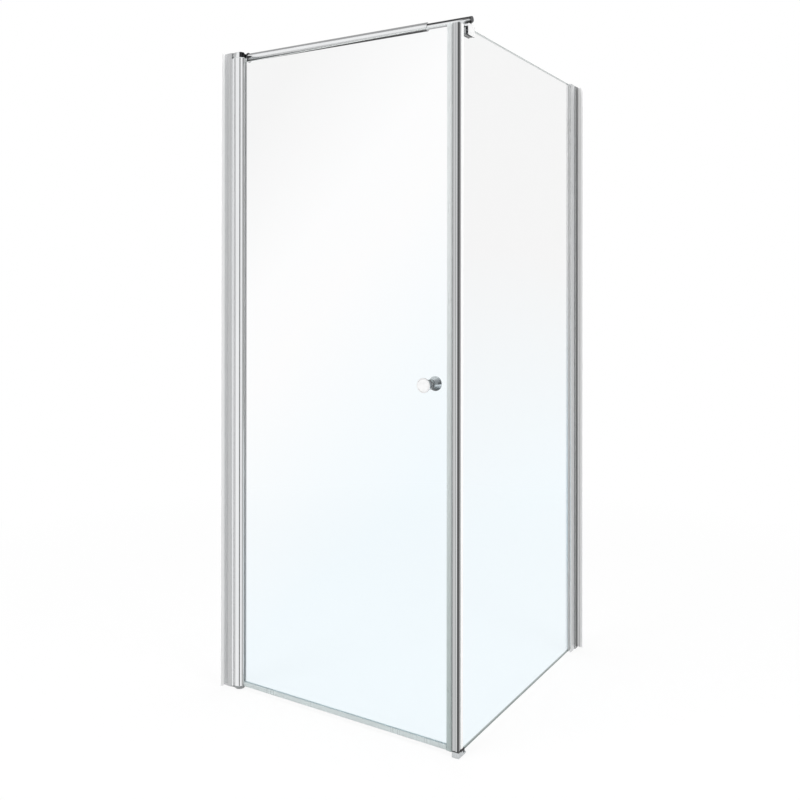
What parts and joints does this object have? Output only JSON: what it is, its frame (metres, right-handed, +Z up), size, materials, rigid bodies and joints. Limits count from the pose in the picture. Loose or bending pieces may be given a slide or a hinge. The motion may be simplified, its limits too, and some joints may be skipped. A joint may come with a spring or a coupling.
{
  "type": "shower enclosure",
  "caption": "Corner shower enclosure with a pivot door on a round hinge column, a fixed glass side panel, chrome wall channels and a telescopic bar over the door.",
  "frame": {"origin": "middle of the corner foot's underside, where the corner post stands on the tray", "axes": "+X from the hinge wall toward the outer face of the side panel, +Y from the door toward the rear wall, +Z up"},
  "size_m": [0.797, 0.84, 1.8555],
  "materials": {
    "chrome": "polished",
    "steel": "satin",
    "glass": "clear toughened glass",
    "clear_seal": "translucent",
    "magnet": "matt",
    "grey_plastic": "matt",
    "dark_plastic": "matt",
    "white_plastic": "matt",
    "dark_rubber": "matt"
  },
  "bodies": {
    "frame": {"left_jamb_profile": "chrome", "left_adjust_screws": "steel", "left_screw_caps": "grey_plastic", "top_bearing_block": "chrome", "top_bearing_screws": "steel", "top_pivot_pin": "steel", "bottom_pivot_pin": "steel", "bottom_bearing_foot": "grey_plastic", "bottom_bearing_screws": "steel", "corner_post": "chrome", "corner_post_cap": "grey_plastic", "corner_foot": "grey_plastic", "corner_foot_screw": "steel", "post_magnet_strip": "clear_seal", "post_magnet": "magnet", "glass_setting_block": "dark_rubber", "side_glass": "glass", "side_glass_front_gasket": "clear_seal", "side_glass_rear_gasket": "clear_seal", "rear_jamb_profile": "chrome", "rear_jamb_cap": "grey_plastic", "rear_adjust_screws": "steel", "rear_screw_caps": "grey_plastic", "bar_rosette": "chrome", "rosette_screw": "steel", "bar_sleeve": "chrome", "sleeve_end_collar": "chrome", "bar_lock_screw": "steel", "clamp_body": "chrome", "clamp_pressure_plate": "steel", "clamp_pads": "clear_seal", "clamp_screws": "steel", "rod_clip": "chrome"},
    "door": {"door_hinge_column": "chrome", "column_top_plug": "grey_plastic", "column_bottom_plug": "grey_plastic", "top_pivot_bush": "white_plastic", "bottom_pivot_bush": "white_plastic", "door_glass": "glass", "door_glass_gasket": "clear_seal", "door_closing_seal": "clear_seal", "door_magnet": "magnet", "door_bottom_seal": "clear_seal", "outer_knob": "chrome", "inner_knob": "chrome", "knob_stud": "steel", "knob_washers": "clear_seal"},
    "left_channel": {"left_wall_channel": "chrome"},
    "rear_channel": {"rear_wall_channel": "chrome"},
    "telescopic_rod": {"bar_rod": "chrome", "rod_guide_plug": "grey_plastic", "rod_end_cap": "dark_plastic"}
  },
  "joints": [
    {"name": "door_hinge", "type": "hinge", "parent": "frame", "child": "door", "pos_m": [-0.718, 0, 0], "axis": [0, 0, -1], "range_deg": [0, 90]},
    {"name": "left_channel_adjustment", "type": "slide", "parent": "frame", "child": "left_channel", "axis": [1, 0, 0], "range_m": [-0.0075, 0.0075]},
    {"name": "rear_channel_adjustment", "type": "slide", "parent": "frame", "child": "rear_channel", "axis": [0, 1, 0], "range_m": [-0.0075, 0.0075]},
    {"name": "bar_telescope", "type": "slide", "parent": "frame", "child": "telescopic_rod", "axis": [0.9992, 0.0397, 0], "range_m": [-0.1, 0.05]}
  ]
}
